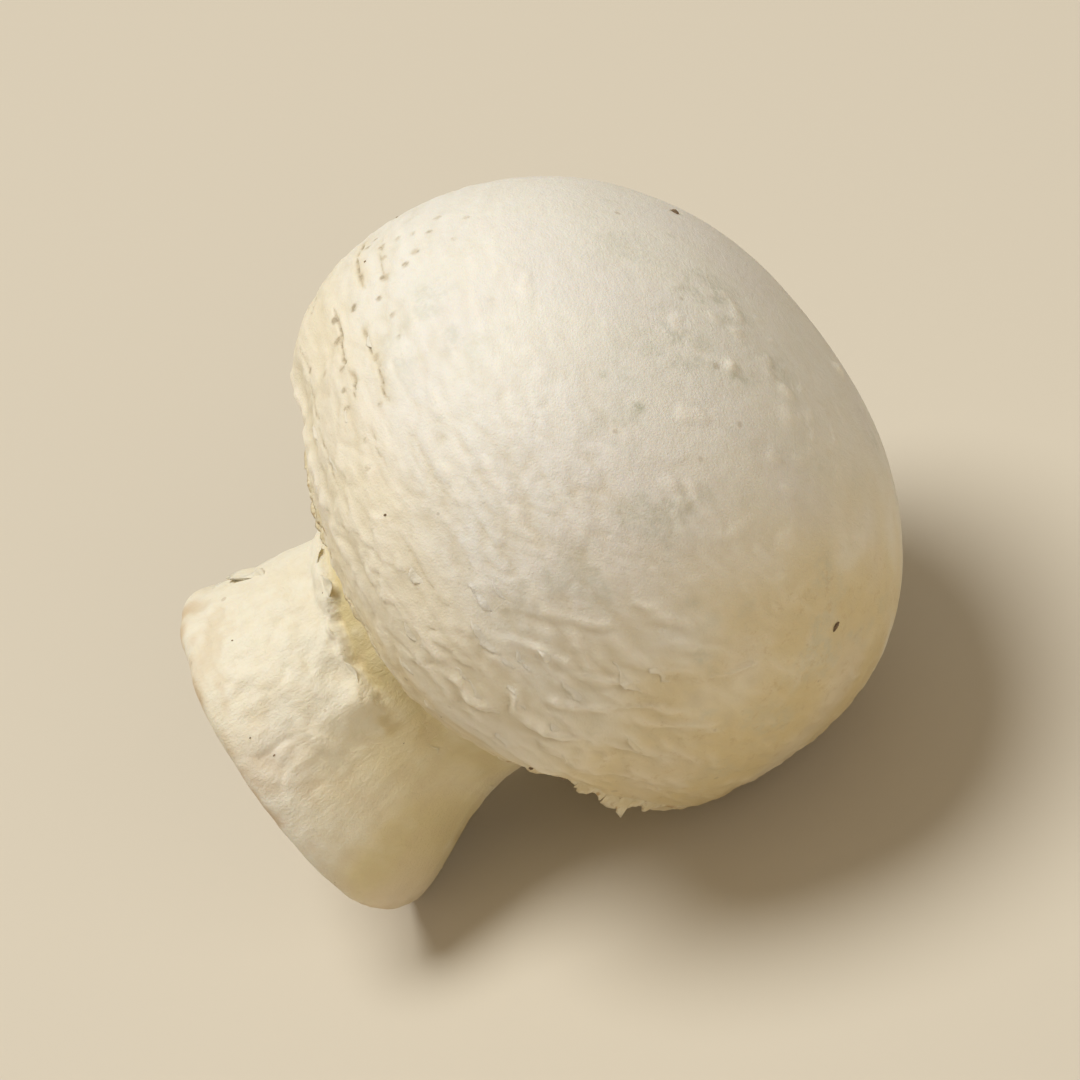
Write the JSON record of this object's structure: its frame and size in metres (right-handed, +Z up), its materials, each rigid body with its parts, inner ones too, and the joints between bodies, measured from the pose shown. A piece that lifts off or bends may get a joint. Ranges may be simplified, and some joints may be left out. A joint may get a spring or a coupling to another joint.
{
  "type": "button mushroom",
  "caption": "Fresh white button mushroom with a closed round cap, a margin rolled in to the veil and a short cut stem, lying on its side.",
  "frame": {"origin": "centre of the footprint's bounding box, on the floor the mushroom lies on", "axes": "+Z up from the floor; +X towards the crown of the cap, with the cut stem towards -X; +Y across the cap"},
  "size_m": [0.0416, 0.0384, 0.0371],
  "materials": {
    "flesh": "matte"
  },
  "bodies": {
    "root": {"mushroom": "flesh"}
  },
  "joints": []
}
